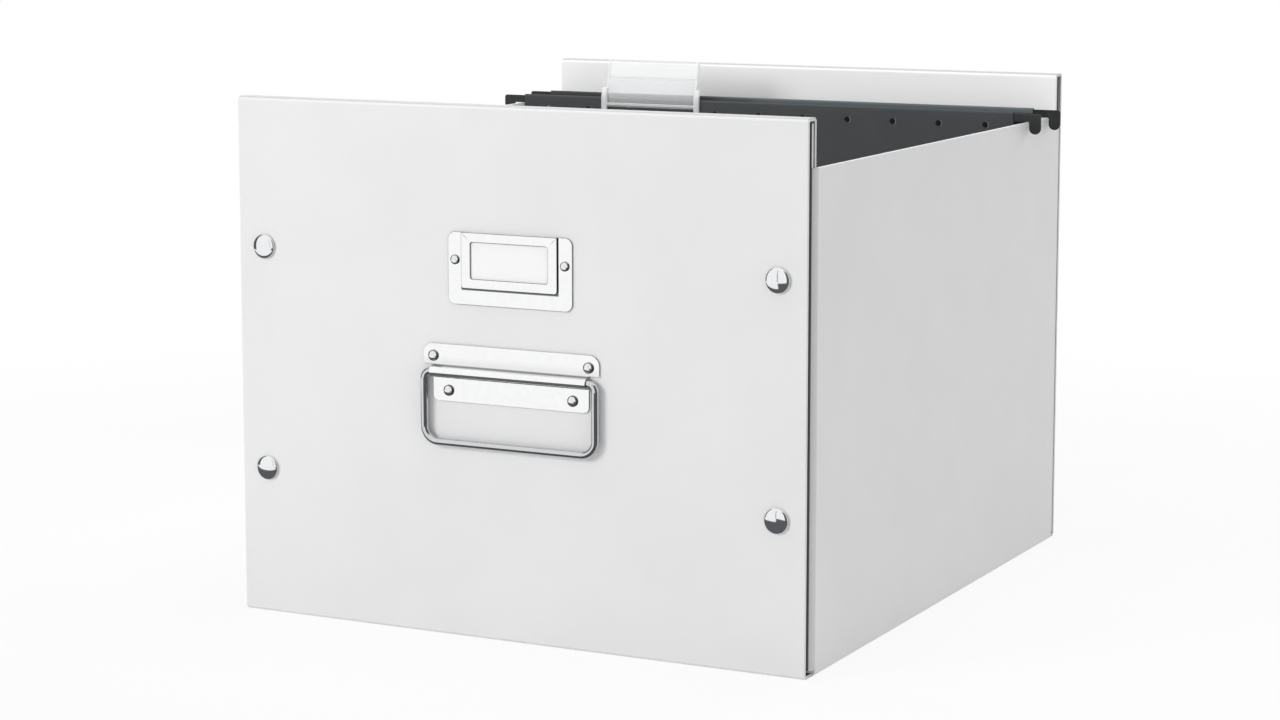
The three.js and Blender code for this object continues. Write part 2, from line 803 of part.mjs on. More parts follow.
function tabHolder() {
  const top = tabHeight;
  const outer = tabWall;
  const far = 2 * tabWall + tabPocket;
  const shift = (z) => Math.max(0, z - tabKnee) * leanRun;
  const backLow = top - tabBackDrop;
  const skin = polygon([
    [-outer, 0],
    [0, 0],
    [0, tabKnee],
    [shift(top - tabWall), top - tabWall],
    [shift(top - tabWall) + tabPocket, top - tabWall],
    [shift(backLow) + tabPocket, backLow],
    [shift(backLow) + tabPocket + tabWall, backLow],
    [shift(top - tabWall) + tabPocket + tabWall, top - tabWall],
    [shift(top) + far - outer - tabWall / 2, top],
    [shift(top) - outer + tabWall / 2, top],
    [shift(top - tabWall) - outer, top - tabWall],
    [-outer, tabKnee],
  ]);
  const half = tabWidth / 2;
  const skinHalf = half - tabInset;
  const bodies = [solid(alongX(skin, -skinHalf, skinHalf))];
  for (const side of [-1, 1]) {
    const x0 = side > 0 ? half - tabEndWidth : -half;
    const ends = [x0, x0 + tabEndWidth];
    bodies.push(block(...ends, -outer - tabEndDepth, -outer / 2, -tabEndDrop, tabKnee));
    const rise = polygon([
      [-outer - tabEndDepth, tabKnee],
      [-outer / 2, tabKnee],
      [shift(tabEndHeight) - outer / 2, tabEndHeight],
      [shift(tabEndHeight) - outer - tabEndDepth, tabEndHeight],
    ]);
    bodies.push(solid(alongX(rise, ...ends)));
  }
  const ledgeTop = tabLedgeRise + tabLedge;
  bodies.push(block(-skinHalf, skinHalf, -outer - tabEndDepth, 0, tabLedgeRise, ledgeTop));
  for (const side of [-1, 1]) {
    const x = (side * slotPitch) / 2;
    const ends = [x - hookWidth / 2, x + hookWidth / 2];
    const through = 2 * (tunnelHalf + sheet) + seat;
    const low = -slotDrop - hookHeight / 2;
    bodies.push(block(...ends, -outer, 0, low, tabLedgeRise));
    bodies.push(block(...ends, -outer / 2, through, low, low + hookHeight));
  }
  const made = mesh('tab_holder', surface(union(bodies)), clear);
  made.position.set(tabX, tabY, tunnelBottom);
  return made;
}

function tabCard() {
  const top = tabHeight - tabWall - seat;
  const low = top - tabCardHeight;
  const shift = (z) => (z - tabKnee) * leanRun;
  const skin = (tabPocket - cardSheet) / 2;
  const section = polygon([
    [shift(low) + skin, low],
    [shift(low) + skin + cardSheet, low],
    [shift(top) + skin + cardSheet, top],
    [shift(top) + skin, top],
  ]);
  const half = tabWidth / 2 - tabInset - tabCardMargin;
  const made = mesh('tab_card', alongX(section, -half, half), paper);
  made.position.set(tabX, tabY, tunnelBottom);
  return made;
}

const fileBox = new THREE.Group();
fileBox.add(boxBody());

const frontWall = wall(0);
addPressStuds(frontWall.plane, 'front');
frontWall.plane.add(handlePlate(), handleBail(), labelHolder(), labelCard());
for (const { name, x, z } of handleRivets) {
  const made = rivet(`handle_rivet_${name}`, x, z, plateSheet, handleRivetRadius, handleRivetHeight);
  frontWall.plane.add(made);
}
for (const [side, x] of [['left', -labelRivetX], ['right', labelRivetX]]) {
  const name = `label_rivet_${side}`;
  frontWall.plane.add(rivet(name, x, labelRivetZ, labelSheet, labelRivetRadius, labelRivetHeight));
}
fileBox.add(frontWall.facing);

const backWall = wall(Math.PI);
addPressStuds(backWall.plane, 'back');
fileBox.add(backWall.facing);

fileBox.add(folderSheet());
fileBox.add(folderBar('folder_bar_front', frontBarY));
fileBox.add(folderBar('folder_bar_rear', rearBarY));
fileBox.add(tabHolder(), tabCard());

export default fileBox;
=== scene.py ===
import math

import bmesh
import bpy
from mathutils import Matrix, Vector


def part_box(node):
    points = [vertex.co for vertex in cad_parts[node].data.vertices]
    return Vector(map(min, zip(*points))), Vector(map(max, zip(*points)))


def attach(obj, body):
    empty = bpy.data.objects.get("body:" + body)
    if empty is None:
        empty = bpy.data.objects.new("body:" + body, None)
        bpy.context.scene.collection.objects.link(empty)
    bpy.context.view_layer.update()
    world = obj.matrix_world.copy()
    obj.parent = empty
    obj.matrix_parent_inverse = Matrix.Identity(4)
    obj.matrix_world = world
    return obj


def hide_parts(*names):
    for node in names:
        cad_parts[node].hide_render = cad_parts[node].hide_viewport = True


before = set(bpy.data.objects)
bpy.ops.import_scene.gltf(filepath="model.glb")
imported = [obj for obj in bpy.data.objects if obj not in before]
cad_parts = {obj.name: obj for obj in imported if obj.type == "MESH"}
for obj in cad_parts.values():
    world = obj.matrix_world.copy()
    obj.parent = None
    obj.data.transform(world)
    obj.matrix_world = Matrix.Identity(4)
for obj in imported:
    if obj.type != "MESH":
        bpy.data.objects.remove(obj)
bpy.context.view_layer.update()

# The box: one blank of greyboard, covered with white laminated paper and creased. The base runs on
# into the front and back walls, which roll over at the top into inner boards, and into the lower
# side walls, whose end flaps are tucked between the two boards of the front and back walls.
mm = 0.001
board = 1.8 * mm
front_y = -185.5 * mm
back_y = 185.5 * mm
box_half = 165 * mm
box_top = 278 * mm
side_face = 166.5 * mm
rail_top = 253.5 * mm
flap_outer = 4.6 * mm
wall_depth = 10 * mm
board_edge = 0.35 * mm
base_fold, bend = 2.4 * mm, 4 * mm
touching = 1e-6
quarter = math.pi / 2


class Signal:
    """A value in a material: adding, multiplying and so on adds the Math nodes for it."""

    def __init__(self, finish, socket):
        self.finish = finish
        self.socket = socket

    def _math(self, operation, first, second):
        return self.finish.add("ShaderNodeMath", {"operation": operation}, {0: first, 1: second})

    def __add__(self, other):
        return self._math("ADD", self, other)

    def __radd__(self, other):
        return self._math("ADD", other, self)

    def __sub__(self, other):
        return self._math("SUBTRACT", self, other)

    def __rsub__(self, other):
        return self._math("SUBTRACT", other, self)

    def __mul__(self, other):
        return self._math("MULTIPLY", self, other)

    def __rmul__(self, other):
        return self._math("MULTIPLY", other, self)

    def __abs__(self):
        return self.finish.add("ShaderNodeMath", {"operation": "ABSOLUTE"}, {0: self})

    def larger(self, other):
        return self._math("MAXIMUM", self, other)

    def between(self, low, high):
        """0 below low, 1 above high, and a smooth step from one to the other."""
        settings = {"interpolation_type": "SMOOTHSTEP"}
        return self.finish.add("ShaderNodeMapRange", settings, {0: self, 1: low, 2: high})


class Finish:
    """One surface's material, or the surround's light, with the shader that ends it."""

    def __init__(self, name, kept_in=bpy.data.materials, shader="Principled BSDF", **constants):
        self.material = kept_in.new(name)
        self.material.use_nodes = True
        self.tree = self.material.node_tree
        self.shader = self.tree.nodes[shader]
        self.set(self.shader, {key.replace("_", " "): value for key, value in constants.items()})

    def add(self, kind, settings=None, sockets=None, out=0):
        node = self.tree.nodes.new(kind)
        for key, value in (settings or {}).items():
            setattr(node, key, value)
        self.set(node, sockets or {})
        return Signal(self, node.outputs[out])

    def set(self, node, sockets):
        for key, value in sockets.items():
            if isinstance(value, Signal):
                self.tree.links.new(value.socket, node.inputs[key])
            else:
                node.inputs[key].default_value = value

    def place(self):
        return self.add("ShaderNodeTexCoord", out=3)

    def axes(self):
        split = self.add("ShaderNodeSeparateXYZ", None, {0: self.place()}).socket.node
        return [Signal(self, output) for output in split.outputs]

    def turned_back(self):
        """How far the surface faces the back wall, from -1 to 1."""
        facing = self.add("ShaderNodeTexCoord", out=1)
        return self.add("ShaderNodeSeparateXYZ", None, {0: facing}, 1)

    def noise(self, scale, detail=2, roughness=0.5):
        sockets = {"Vector": self.place(), "Scale": scale, "Detail": detail,
                   "Roughness": roughness}
        return self.add("ShaderNodeTexNoise", None, sockets)

    def mixed(self, first, second, share):
        return self.add("ShaderNodeMix", {"data_type": "RGBA"}, {0: share, 6: first, 7: second}, 2)

    def bump(self, height, depth):
        sockets = {"Height": height, "Distance": depth}
        self.set(self.shader, {"Normal": self.add("ShaderNodeBump", None, sockets)})


def laminated_paper():
    """White covering paper: a very fine emboss, faint broad mottling and a satin sheen.

    It is whiter inside. Painted shade greys it round the folded corners and along the rolled
    tops, and paints the gaps inside the double walls near black.
    """
    finish = Finish("laminated_paper", Specular_IOR_Level=0.5)
    grain = finish.noise(1100, 3, 0.6)
    mottle = finish.noise(18, 3)
    share = mottle.between(0.3, 0.7) * 0.6 + grain * 0.4
    colour = finish.mixed((0.815, 0.815, 0.822, 1), (0.85, 0.85, 0.856, 1), share)
    x, y, z = finish.axes()
    across, depth = abs(x), back_y - abs(y)
    lining = depth.between(wall_depth - mm, wall_depth - 0.4 * mm)
    lining = lining * (1 - across.between(box_half - mm, box_half + 0.5 * mm))
    colour = finish.mixed(colour, (0.93, 0.93, 0.933, 1), lining)
    bend_start = side_face - bend
    # Painted shade: the paper is greyed where the corner fold turns into the side wall.
    crease_shade = depth.between(board + 0.1 * mm, board + 0.3 * mm)
    crease_shade = crease_shade * (1 - depth.between(wall_depth - 0.8 * mm, wall_depth - 0.2 * mm))
    crease_shade = crease_shade * across.between(bend_start - 0.7 * mm, bend_start - 0.3 * mm)
    colour = finish.mixed(colour, (0.69, 0.69, 0.697, 1), crease_shade)
    # Painted shade: the tops of the rolled walls are greyed.
    rolled = z.between(box_top - 1.1 * mm, box_top - 0.4 * mm)
    colour = finish.mixed(colour, (0.56, 0.56, 0.565, 1), rolled)
    raised = y.between(0, mm) * z.between(rail_top, rail_top + mm)
    inner_back, under_top = wall_depth - board, box_top - board
    # Painted shade: the gaps between the boards of the double walls are painted near black.
    gap_shade = depth.between(board - 0.1 * mm, board + 0.1 * mm)
    gap_shade = gap_shade * (1 - depth.between(inner_back - 0.1 * mm, inner_back + 0.1 * mm))
    gap_shade = gap_shade * (1 - across.between(box_half - 0.4 * mm, box_half - 0.1 * mm) * (1 - raised))
    gap_shade = gap_shade * z.between(0.5 * mm, 0.9 * mm)
    gap_shade = gap_shade * (1 - z.between(under_top + 0.1 * mm, under_top + 0.4 * mm))
    colour = finish.mixed(colour, (0.1, 0.1, 0.102, 1), gap_shade)
    finish.set(finish.shader, {"Base Color": colour, "Roughness": 0.4 + 0.08 * grain})
    finish.bump(grain, 0.025 * mm)
    return finish.material


def arc(x, y, radius, start, end, steps=8):
    turn = (end - start) / steps
    return [(x + radius * math.cos(start + i * turn), y + radius * math.sin(start + i * turn))
            for i in range(steps + 1)]


def drawn_along_x(u, v, w):
    return (w, u, v)


def drawn_along_y(u, v, w):
    return (u, w, v)


def drawn_out(outline, low, high, put, opening=None):
    """An outline with thickness. An opening has as many points as its outline."""
    body = bmesh.new()
    loops = [outline] if opening is None else [outline, opening]
    rings = [[body.verts.new(put(u, v, w)) for u, v in loop] for loop in loops for w in (low, high)]
    for below, above in zip(rings[::2], rings[1::2]):
        for i in range(len(below)):
            body.faces.new((below[i - 1], below[i], above[i], above[i - 1]))
    if opening is None:
        body.faces.new(rings[0])
        body.faces.new(rings[1])
    else:
        for outer, inner in ((rings[0], rings[2]), (rings[1], rings[3])):
            for i in range(len(outer)):
                body.faces.new((outer[i - 1], outer[i], inner[i], inner[i - 1]))
    bmesh.ops.recalc_face_normals(body, faces=body.faces[:])
    return body


def softened(body, width, seam=None, segments=3):
    """Rounds every sharp edge, apart from those that run into the next stretch of the piece."""
    edges = [edge for edge in body.edges
             if edge.is_manifold and edge.calc_face_angle() > math.radians(40)
             and not (seam and all(seam(vertex.co) for vertex in edge.verts))]
    bmesh.ops.bevel(body, geom=edges, offset=width, segments=segments, profile=0.5,
                    affect="EDGES", clamp_overlap=True)
    return body


def piece(name, bodies, material, nodes, carrier="box"):
    """One object from its bodies, riding on its carrier in place of the nodes it stands for."""
    mesh = bpy.data.meshes.new(name)
    whole = bmesh.new()
    for body in bodies:
        part = bpy.data.meshes.new(name + "_part")
        body.to_mesh(part)
        body.free()
        whole.from_mesh(part)
        bpy.data.meshes.remove(part)
    bmesh.ops.recalc_face_normals(whole, faces=whole.faces[:])
    whole.to_mesh(mesh)
    whole.free()
    mesh.shade_smooth()
    mesh.set_sharp_from_angle(angle=math.radians(38))
    made = bpy.data.objects.new(name, mesh)
    bpy.context.scene.collection.objects.link(made)
    weighted = made.modifiers.new("even_shading", "WEIGHTED_NORMAL")
    weighted.keep_sharp = True
    mesh.materials.append(material)
    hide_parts(*nodes)
    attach(made, carrier)


def folded_strip():
    """Up the inner board of the front wall, over its top, under the base and up the back wall."""
    top_fold, corner, foot = 2.2 * mm, 0.4 * mm, 2.4 * mm
    under_top = box_top - board
    first, last = front_y + wall_depth, back_y - wall_depth
    outline = [(first, foot)]
    outline += arc(first - top_fold, box_top - top_fold, top_fold, 0, quarter)
    outline += arc(front_y + top_fold, box_top - top_fold, top_fold, quarter, 2 * quarter)
    outline += arc(front_y + base_fold, base_fold, base_fold, 2 * quarter, 3 * quarter)
    outline += arc(back_y - base_fold, base_fold, base_fold, 3 * quarter, 4 * quarter)
    outline += arc(back_y - top_fold, box_top - top_fold, top_fold, 0, quarter)
    outline += arc(last + top_fold, box_top - top_fold, top_fold, quarter, 2 * quarter)
    outline += [(last, foot), (last + board, foot)]
    outline += arc(last + board + corner, under_top - corner, corner, 2 * quarter, quarter, 3)
    outline += arc(back_y - board - corner, under_top - corner, corner, quarter, 0, 3)
    outline += arc(back_y - board - corner, board + corner, corner, 0, -quarter, 3)
    outline += arc(front_y + board + corner, board + corner, corner, 3 * quarter, 2 * quarter, 3)
    outline += arc(front_y + board + corner, under_top - corner, corner, 2 * quarter, quarter, 3)
    outline += arc(first - board - corner, under_top - corner, corner, quarter, 0, 3)
    outline += [(first - board, foot)]
    return softened(drawn_out(outline, -box_half, box_half, drawn_along_x), board_edge)


def side_wall(side):
    """A lower side wall with its base fold, and its two end flaps, which stand higher."""
    flap_end, seam_z = 131 * mm, 3.5 * mm
    flap_top, flap_edge = box_top - board - 1.0 * mm, 0.3 * mm
    near, far = front_y + flap_outer, back_y - flap_outer
    inner = side_face - board
    middle = side_face - bend
    plan = [(flap_end, near)] + arc(middle, near + bend, bend, -quarter, 0, 10)
    plan += arc(middle, far - bend, bend, 0, quarter, 10)
    plan += [(flap_end, far), (flap_end, far - board)]
    plan += arc(middle, far - bend, bend - board, quarter, 0, 10)
    plan += arc(middle, near + bend, bend - board, 0, -quarter, 10) + [(flap_end, near + board)]

    def on_seam(point):
        return abs(point.z - seam_z) < touching

    def over_base(point):
        return on_seam(point) and near + bend - touching < point.y < far - bend + touching

    def put(u, v, w):
        return (side * u, v, w)

    walls = drawn_out(plan, seam_z, rail_top, put)
    bodies = [softened(walls, board_edge, over_base)]
    reach = inner - (side_face - base_fold)
    start = -quarter + math.asin(reach / base_fold)
    fold = [(inner, seam_z)] + arc(side_face - base_fold, base_fold, base_fold, start, 0)
    fold.append((side_face, seam_z))

    def put_fold(u, v, w):
        return (side * u, w, v)

    base = drawn_out(fold, near + bend, far - bend, put_fold)
    bodies.append(softened(base, flap_edge, on_seam))
    for y in (near, far - board):
        plate = [(flap_end, y), (box_half, y), (box_half, y + board), (flap_end, y + board)]
        bodies.append(softened(drawn_out(plate, rail_top, flap_top, put), flap_edge))
    return bodies


white_board = laminated_paper()
piece("folded_box", [folded_strip(), *side_wall(1), *side_wall(-1)], white_board,
      ["box_body"])

# Press studs: nickel-plated caps with a rolled rim stand on the outer boards, riveted through to
# their sockets, and the studs and posts behind them are clenched on the flaps.
seat = 0.2 * mm


def on_front(u, v, w):
    return (u, front_y - w, v)


def on_back(u, v, w):
    return (-u, back_y + w, v)


def turned(profile, x, z, put, sides=48):
    """A profile of (radius, height off the wall), spun; it starts and ends on the axis."""
    body = bmesh.new()
    rings = []
    for radius, height in profile:
        if radius == 0:
            rings.append([body.verts.new(put(x, z, height))])
        else:
            turns = [i * 2 * math.pi / sides for i in range(sides)]
            rings.append([body.verts.new(put(x + radius * math.cos(t), z + radius * math.sin(t),
                                             height)) for t in turns])
    for lower, upper in zip(rings, rings[1:]):
        for i in range(sides):
            ends = [lower[i - 1], lower[i]] if len(lower) > 1 else [lower[0]]
            ends += [upper[i], upper[i - 1]] if len(upper) > 1 else [upper[0]]
            body.faces.new(ends)
    return body


def bright_metal(name, colour, roughness, depth=0.001, shade_mask=None):
    """Bright plating: fine polishing haze, and a slightly uneven surface under it."""
    finish = Finish(name, Metallic=1.0)
    haze = finish.noise(260, 4, 0.6)
    swell = finish.noise(90, 2)
    darker, shade_grey = tuple(0.97 * part for part in colour), (0.14, 0.14, 0.145, 1)
    tint = finish.mixed((*darker, 1), (*colour, 1), haze.between(0.3, 0.7))
    # Painted shade: the mask, where given, paints the plating dark grey.
    if shade_mask:
        tint = finish.mixed(tint, shade_grey, shade_mask(finish))
    finish.set(finish.shader, {"Base Color": tint, "Roughness": roughness + 0.03 * haze})
    finish.bump(swell, depth * mm)
    return finish.material


def head(radius, height, under, rim, tail):
    """A domed head with a rolled rim over a shank that ends in a clenched tail."""
    shank = 1.4 * mm
    profile = [(0, tail), (shank + 0.5 * mm, tail), (shank + 0.8 * mm, tail + 0.2 * mm),
               (shank + 0.8 * mm, tail + 0.5 * mm), (shank, tail + 0.7 * mm), (shank, under)]
    profile.append((radius - 0.7 * rim, under))
    profile += [(radius - rim + rim * c, under + rim + rim * s)
                for c, s in arc(0, 0, 1, -quarter * 0.6, quarter * 0.45, 5)]
    edge_radius, edge_height = profile[-1]
    rise = under + height - edge_height
    profile += [(edge_radius * c, edge_height + rise * s)
                for c, s in arc(0, 0, 1, 0, quarter, 14)[1:-1]]
    profile.append((0, under + height))
    return profile


def recoat(node, material):
    """Gives a piece that keeps its solid its material."""
    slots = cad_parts[node].data.materials
    slots.clear()
    slots.append(material)


nickel = bright_metal("nickel_plate", (0.86, 0.87, 0.88), 0.06)
cap = head(6.6 * mm, 2.3 * mm, seat, 0.45 * mm, -2.9 * mm)
for wall, put in (("front", on_front), ("back", on_back)):
    for level, z in (("lower", 79 * mm), ("upper", 198.5 * mm)):
        for side, x in (("left", -149.5 * mm), ("right", 149.5 * mm)):
            stem = f"{wall}_{level}_{side}"
            piece(stem + "_dome", [turned(cap, x, z, put)], nickel, [stem + "_cap"])
            for hidden in ("socket", "stud", "post"):
                recoat(f"{stem}_{hidden}", nickel)

# Handle plate: thin sheet steel, pressed with a half-round channel across it and chromed. Its
# upper flange is wider than its lower one, and two rivets in each fix it to the front wall.
hinge_z = 139.7 * mm
hinge_out = 2.5 * mm
sheet_metal = 0.6 * mm
sheared_edge = 0.26 * mm
plate_half = 45.5 * mm
pocket_half, pocket_low = 28 * mm, 183.8 * mm


def plate_rows():
    """The plate's middle surface from top to bottom: (height, out, normal, half width)."""
    up, down = 14.3 * mm, -15.5 * mm
    middle = seat + sheet_metal / 2
    channel, fillet = 2.7 * mm, 0.7 * mm
    wide, narrow, step = 51.5 * mm, plate_half, 3.6 * mm
    top_corner, low_corner = 5.5 * mm, 3.0 * mm
    rows = []
    for c, s in arc(0, 0, 1, quarter, 0, 8):
        rows.append((up - top_corner + top_corner * s, middle, (0, 1), wide - top_corner * (1 - c)))
    rows.append((step, middle, (0, 1), wide))
    for c, s in arc(0, 0, 1, -quarter, -2 * quarter, 5):
        rows.append((channel + fillet + fillet * c, middle + fillet + fillet * s, (-c, -s), narrow))
    for c, s in arc(0, 0, 1, 0, 2 * quarter, 18):
        rows.append((channel * c, hinge_out + channel * s, (c, s), narrow))
    for c, s in arc(0, 0, 1, 0, -quarter, 5):
        rows.append((-channel - fillet + fillet * c, middle + fillet + fillet * s, (-c, -s),
                     narrow))
    for c, s in arc(0, 0, 1, 0, -quarter, 8):
        rows.append((down + low_corner + low_corner * s, middle, (0, 1),
                     narrow - low_corner * (1 - c)))
    return rows


def pressed_plate():
    """The plate as two skins, one on each side of its middle surface, joined along its rims."""
    rows = plate_rows()
    inner = [0, 12 * mm, 24 * mm, 36 * mm, 42 * mm]
    columns = [-x for x in reversed(inner[1:])] + inner
    body = bmesh.new()
    skins = []
    for offset in (sheet_metal / 2, -sheet_metal / 2):
        skin = []
        for height, out, (nu, nv), half in rows:
            z, w = hinge_z + height + offset * nu, out + offset * nv
            waist = min(half, plate_half)
            xs = [-waist, *columns, waist]
            line = [body.verts.new(on_front(x, z, w)) for x in xs]
            ears = None
            if half > waist:
                ears = [body.verts.new(on_front(x, z, w)) for x in (-half, half)]
            skin.append((line, ears))
        skins.append(skin)
    cells = []
    for i in range(len(rows) - 1):
        here, after = skins[0][i], skins[0][i + 1]
        behind, behind_after = skins[1][i], skins[1][i + 1]
        for j in range(len(here[0]) - 1):
            cells.append(((here[0][j], here[0][j + 1], after[0][j + 1], after[0][j]),
                          (behind[0][j], behind[0][j + 1], behind_after[0][j + 1],
                           behind_after[0][j])))
        if here[1] and after[1]:
            for ear, end in ((0, 0), (1, -1)):
                cells.append(((here[1][ear], here[0][end], after[0][end], after[1][ear]),
                              (behind[1][ear], behind[0][end], behind_after[0][end],
                               behind_after[1][ear])))
    rims = {}
    for outside, inside in cells:
        body.faces.new(outside)
        body.faces.new(inside[::-1])
        for k in range(4):
            pair = (outside[k - 1], outside[k], inside[k], inside[k - 1])
            key = frozenset(pair[:2])
            rims[key] = None if key in rims else pair
    for pair in rims.values():
        if pair:
            body.faces.new(pair)
    bmesh.ops.recalc_face_normals(body, faces=body.faces[:])
    return softened(body, sheared_edge)


def painted_plate_shade(finish):
    """Painted shade on the plating: dark lines along the rounded rims where the flat sheet was cut.

    The line where the label pocket is pressed out of its flange and the fillet above the channel
    get it too, with a painted shade that fades up the flange above the fillet.
    """
    x, _, z = finish.axes()
    over = z - hinge_z
    rim = 1 - abs(finish.turned_back()).between(0.75, 0.99)
    rim = rim * abs(over).between(3.9 * mm, 4.3 * mm)
    across, above = abs(x), z - pocket_low
    beside = 1 - abs(across - (pocket_half + 0.2 * mm)).between(0.1 * mm, 0.4 * mm)
    beside = beside * above.between(-0.8 * mm, 0)
    below = 1 - abs(above + 0.4 * mm).between(0.3 * mm, 0.8 * mm)
    below = below * (1 - across.between(pocket_half, pocket_half + 0.6 * mm))
    fillet = 1 - abs(over - 3.1 * mm).between(0.2 * mm, 0.6 * mm)
    shade = over.between(3.2 * mm, 3.6 * mm) * (0.22 - 0.22 * over.between(3.4 * mm, 9 * mm))
    return rim.larger(0.75 * beside + below + 0.7 * (fillet + shade))


chromed_sheet = bright_metal("chromed_sheet", (0.95, 0.953, 0.957), 0.1, depth=0.0004,
                             shade_mask=painted_plate_shade)
piece("channel_plate", [pressed_plate()], chromed_sheet, ["handle_plate"])


def shoulder_shade(finish):
    """Painted shade on the steep shoulder of a rivet's dome, which is darker than its crown."""
    return 0.9 * (1 - abs(finish.turned_back()).between(0.68, 0.95))


# Rivet nickel, with painted shade on the shoulders of the domes.
shaded_nickel = bright_metal("shaded_nickel", (0.84, 0.845, 0.855), 0.05, shade_mask=shoulder_shade)
on_sheet, rivet_tail, rivet_sides = 2 * seat + sheet_metal, -2.7 * mm, 40
rivet_head = head(2.9 * mm, 1.5 * mm, on_sheet, 0.3 * mm, rivet_tail)
for level, rivet_x, z in (("upper", 45.4 * mm, 147.6 * mm), ("lower", 36.3 * mm, 129.9 * mm)):
    for side, x in (("left", -rivet_x), ("right", rivet_x)):
        rivet = turned(rivet_head, x, z, on_front, rivet_sides)
        piece(f"plate_rivet_{level}_{side}", [rivet], shaded_nickel,
              [f"handle_rivet_{level}_{side}"])


# Bail: one length of chromed steel wire bent to a loop, whose ends meet inside the channel. It
# turns there, and hangs against the front wall under its own weight.
def bent_wire():
    """The round wire along its bent line, with a small gap between its ends."""
    wire_radius, arm, reach = 2.1 * mm, 50 * mm, 36.9 * mm
    top_bend, low_bend, end_gap = 4 * mm, 8 * mm, 0.4 * mm
    line = [(end_gap, 0)]
    line += arc(arm - top_bend, -top_bend, top_bend, quarter, 0, 10)
    line += arc(arm - low_bend, low_bend - reach, low_bend, 0, -quarter, 14)
    line += [(-x, z) for x, z in reversed(line)]
    body = bmesh.new()
    rings = []
    sides = 28
    for i, (x, z) in enumerate(line):
        before = Vector(line[max(i - 1, 0)])
        after = Vector(line[min(i + 1, len(line) - 1)])
        along = (after - before).normalized()
        turns = [k * 2 * math.pi / sides for k in range(sides)]
        rings.append([body.verts.new(on_front(
            x - along.y * wire_radius * math.cos(t),
            hinge_z + z + along.x * wire_radius * math.cos(t),
            hinge_out + wire_radius * math.sin(t))) for t in turns])
    for lower, upper in zip(rings, rings[1:]):
        for k in range(sides):
            body.faces.new((lower[k - 1], lower[k], upper[k], upper[k - 1]))
    body.faces.new(rings[0])
    body.faces.new(rings[-1])
    bmesh.ops.recalc_face_normals(body, faces=body.faces[:])
    return body


chromed_wire = bright_metal("chromed_wire", (0.65, 0.66, 0.67), 0.05)
piece("wire_bail", [bent_wire()], chromed_wire, ["handle_bail"], "handle")

# Label holder: chromed sheet with a pocket pressed out of its middle, open at the top, with a
# window in it for the white card that slides in from above. A rivet at each side fixes it.
label_half = 36.2 * mm
label_low, label_top = 175.2 * mm, 212.8 * mm
pocket_out = 1.1 * mm


def rounded(x0, x1, z0, z1, low_corner, high_corner, steps=8):
    """A rectangle's outline, with one radius for its low corners and one for its high ones."""
    outline = arc(x1 - low_corner, z0 + low_corner, low_corner, -quarter, 0, steps)
    outline += arc(x1 - high_corner, z1 - high_corner, high_corner, 0, quarter, steps)
    outline += arc(x0 + high_corner, z1 - high_corner, high_corner, quarter, 2 * quarter, steps)
    outline += arc(x0 + low_corner, z0 + low_corner, low_corner, 2 * quarter, 3 * quarter, steps)
    return outline


def label_plate():
    """The flat flange, the skirt round the pocket, and the pocket's front with its window."""
    corner, inner, face_corner, window_corner = 4 * mm, 1.6 * mm, 0.2 * mm, 1.2 * mm
    window_half, window_low, window_high = 22.5 * mm, 188.9 * mm, 207.8 * mm
    back, flange = seat, seat + sheet_metal
    under, face = seat + pocket_out, seat + pocket_out + sheet_metal
    skirt = arc(pocket_half - inner, pocket_low + inner, inner, -quarter, 0)
    skirt_back = [(-x, z) for x, z in reversed(skirt)]
    flange_line = arc(-label_half + corner, label_top - corner, corner, quarter, 2 * quarter)
    flange_line += arc(-label_half + corner, label_low + corner, corner, 2 * quarter, 3 * quarter)
    flange_line += arc(label_half - corner, label_low + corner, corner, -quarter, 0)
    flange_line += arc(label_half - corner, label_top - corner, corner, 0, quarter)
    flange_line += [(pocket_half, label_top)] + skirt[::-1] + skirt_back[::-1]
    flange_line += [(-pocket_half, label_top)]
    bodies = [softened(drawn_out(flange_line, back, flange, on_front), sheared_edge)]

    bowl = arc(pocket_half - inner, pocket_low + inner, inner - sheet_metal, -quarter, 0)
    bowl_back = [(-x, z) for x, z in reversed(bowl)]
    wall_line = [(-pocket_half, label_top)] + skirt_back + skirt + [(pocket_half, label_top)]
    wall_line += [(pocket_half - sheet_metal, label_top)] + bowl[::-1] + bowl_back[::-1]
    wall_line += [(sheet_metal - pocket_half, label_top)]
    bodies.append(drawn_out(wall_line, back, under, on_front))

    outline = rounded(-pocket_half, pocket_half, pocket_low, label_top, inner, face_corner)
    window = rounded(-window_half, window_half, window_low, window_high, window_corner,
                     window_corner)
    cover = drawn_out(outline, under, face, on_front, window)

    def on_wall(point):
        return abs(point.y - (front_y - under)) < touching

    bodies.append(softened(cover, 0.4 * mm, on_wall))
    return bodies


piece("label_pocket", label_plate(), chromed_sheet, ["label_holder"])

label_rivet = head(2.5 * mm, 1.2 * mm, on_sheet, 0.28 * mm, rivet_tail)
label_rivet_z = 198.4 * mm
for side, x in (("left", -32 * mm), ("right", 32 * mm)):
    rivet = turned(label_rivet, x, label_rivet_z, on_front, rivet_sides)
    piece(f"pocket_rivet_{side}", [rivet], shaded_nickel, [f"label_rivet_{side}"])


def white_card():
    """Uncoated white card: soft fibres in colour and surface."""
    finish = Finish("white_card", Specular_IOR_Level=0.3)
    fibre = finish.noise(1500, 4, 0.65)
    tint = finish.mixed((0.94, 0.94, 0.94, 1), (0.975, 0.975, 0.975, 1), fibre.between(0.3, 0.7))
    finish.set(finish.shader, {"Base Color": tint, "Roughness": 0.7 + 0.15 * fibre})
    finish.bump(fibre, 0.02 * mm)
    return finish.material


card_stock = white_card()
card_low, card_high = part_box("label_card")
card_line = rounded(card_low.x, card_high.x, card_low.z, card_high.z, 0.5 * mm, 0.5 * mm, 4)
piece("name_card", [drawn_out(card_line, card_low.y, card_high.y, drawn_along_y)], card_stock,
      ["label_card"])

